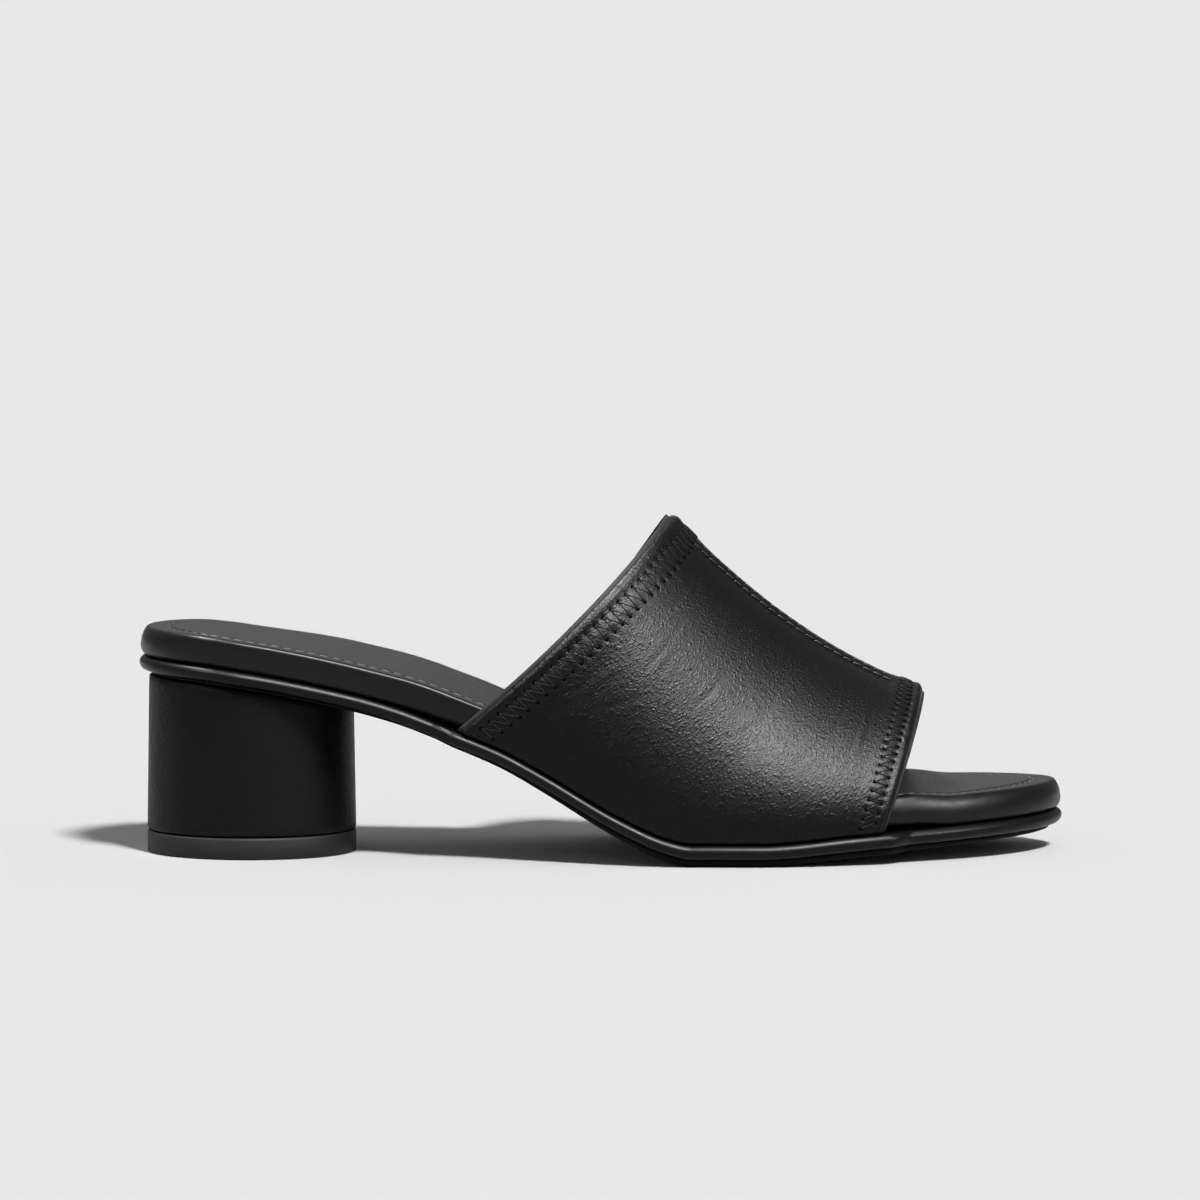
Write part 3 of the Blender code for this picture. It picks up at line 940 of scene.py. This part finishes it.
# foot, shoulder and tip are rows of inset and height at the rolled edges
heelSpec = {
    "length": 55.2, "topLength": 54.1, "width": 51.5, "topWidth": 50.5, "tipHeight": 5.8,
    "foot": ((0.6, 0.0), (0.15, 0.2), (0.0, 0.6)),
    "shoulder": ((0.1, -0.6), (0.5, -0.35)), "underSole": 0.9,
    "tip": ((0.7, 0.0), (0.25, 0.12), (0.0, 0.5), (0.0, 2.5), (0.0, 5.2), (0.15, 5.6), (0.5, 5.8)),
    "steps": 30, "round": 160,
}


def ovalStack(name, rows, count, material):
    # Rings from the bottom up, each a row of half length, half width and a height for each place
    mesh = bmesh.new()
    ring = bmesh.ops.create_circle(mesh, cap_ends=False, segments=count, radius=1.0)["verts"]
    angles = [2 * math.pi * i / count for i in range(count)]

    def setRing(verts, row):
        halfLength, halfWidth, height = row
        for vert, angle in zip(verts, angles):
            x = math.cos(angle) * halfLength
            y = math.sin(angle) * halfWidth
            vert.co = Vector((x, y, height(x, y))) * mm

    setRing(ring, rows[0])
    edges = list(mesh.edges)
    for row in rows[1:]:
        grown = bmesh.ops.extrude_edge_only(mesh, edges=edges)["geom"]
        newVerts = [v for v in grown if isinstance(v, bmesh.types.BMVert)]
        newEdges = [e for e in grown if isinstance(e, bmesh.types.BMEdge)]
        newVerts.sort(key=lambda v: math.atan2(v.co.y / rows[0][1], v.co.x / rows[0][0]) % (2 * math.pi))
        setRing(newVerts, row)
        edges = [e for e in newEdges if e.verts[0] in newVerts and e.verts[1] in newVerts]
    bmesh.ops.holes_fill(mesh, edges=[e for e in mesh.edges if e.is_boundary], sides=0)
    return finishMesh(name, mesh, material)


def heelRows():
    # The oval block narrows a little towards its top, which follows the sole
    spec = heelSpec
    base = spec["tipHeight"] + last["gap"]
    rows = []
    for inset, up in spec["foot"]:
        rows.append((spec["length"] / 2 - inset, spec["width"] / 2 - inset, lambda x, y, up=up: base + up))
    footTop = base + spec["foot"][-1][1]

    def between(x, y, share):
        return mix(footTop, outsoleBottom(x, y) - spec["underSole"], share)

    for i in range(1, spec["steps"]):
        share = i / spec["steps"]
        rows.append((mix(spec["length"], spec["topLength"], share) / 2,
                     mix(spec["width"], spec["topWidth"], share) / 2,
                     lambda x, y, share=share: between(x, y, share)))
    for inset, up in spec["shoulder"]:
        rows.append((spec["topLength"] / 2 - inset, spec["topWidth"] / 2 - inset,
                     lambda x, y, up=up: outsoleBottom(x, y) + up))
    return rows


def tipRows():
    spec = heelSpec
    rows = []
    for inset, up in spec["tip"]:
        rows.append((spec["length"] / 2 - inset, spec["width"] / 2 - inset, lambda x, y, up=up: up))
    return rows


def makeHeelPiece(name, node, material, rows):
    piece = ovalStack(name, rows, heelSpec["round"], material)
    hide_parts(node)
    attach(piece, "root")


makeHeelPiece("heel_cover", "heel", heelLeather, heelRows())
makeHeelPiece("heel_tip", "top_piece", heelRubber, tipRows())
print("heel ready")


# Floor, light and camera

studio = {"worldLight": 0.22, "floorColour": "#e8e8e8", "floorSize": 60.0}

world = bpy.data.worlds.new("studio")
bpy.context.scene.world = world
world.use_nodes = True
world.node_tree.nodes["Background"].inputs["Color"].default_value = (1.0, 1.0, 1.0, 1.0)
world.node_tree.nodes["Background"].inputs["Strength"].default_value = studio["worldLight"]
bpy.context.scene.view_settings.view_transform = "Standard"

# White board without any gloss, so that the floor stays even and takes only the shadow
floorMaterial, floorShader = newMaterial("matte_white_board")
floorShader.inputs["Base Color"].default_value = linear(studio["floorColour"])
floorShader.inputs["Roughness"].default_value = 1.0
floorShader.inputs["Specular IOR Level"].default_value = 0.0
floorMesh = bmesh.new()
bmesh.ops.create_grid(floorMesh, x_segments=1, y_segments=1, size=studio["floorSize"])
floor = finishMesh("floor", floorMesh, floorMaterial, smooth=False)


def addSun(name, energy, spread, direction, asSheen):
    sun = bpy.data.lights.new(name, "SUN")
    sun.energy = energy
    sun.angle = math.radians(spread)
    sunObject = bpy.data.objects.new(name, sun)
    sunObject.rotation_euler = Vector(direction).to_track_quat("Z", "Y").to_euler()
    sunObject.visible_diffuse = not asSheen
    sunObject.visible_glossy = asSheen
    bpy.context.scene.collection.objects.link(sunObject)


# The key lights the floor and casts the shadow. The soft boxes are seen only as sheen on the leather.
addSun("key", 3.14, 9, (0.29, -0.55, 0.78), False)
addSun("front_soft_box", 9.0, 25, (0.21, -0.49, 0.84), True)
addSun("top_soft_box", 7.5, 16, (-0.35, 0.10, 0.93), True)
addSun("left_soft_box", 2.0, 12, (-0.55, -0.45, 0.70), True)
addSun("right_soft_box", 1.7, 14, (0.76, -0.39, 0.51), True)
addSun("back_soft_box", 0.07, 30, (0.0, 0.90, 0.44), True)

# The photograph's view: a long lens from the lateral side, in metres
cameraSpec = {"along": 0.0921, "distance": 3.0, "height": 0.331, "aimHeight": 0.0664, "lens": 342.0}

camera = bpy.data.cameras.new("camera")
camera.sensor_width = 36.0
camera.lens = cameraSpec["lens"]
camera.clip_end = 20.0
camera.dof.use_dof = False
cameraObject = bpy.data.objects.new("camera", camera)
cameraObject.location = (cameraSpec["along"], -cameraSpec["distance"], cameraSpec["height"])
aim = Vector((cameraSpec["along"], 0.0, cameraSpec["aimHeight"]))
cameraObject.rotation_euler = (aim - cameraObject.location).to_track_quat("-Z", "Y").to_euler()
bpy.context.scene.collection.objects.link(cameraObject)
bpy.context.scene.camera = cameraObject
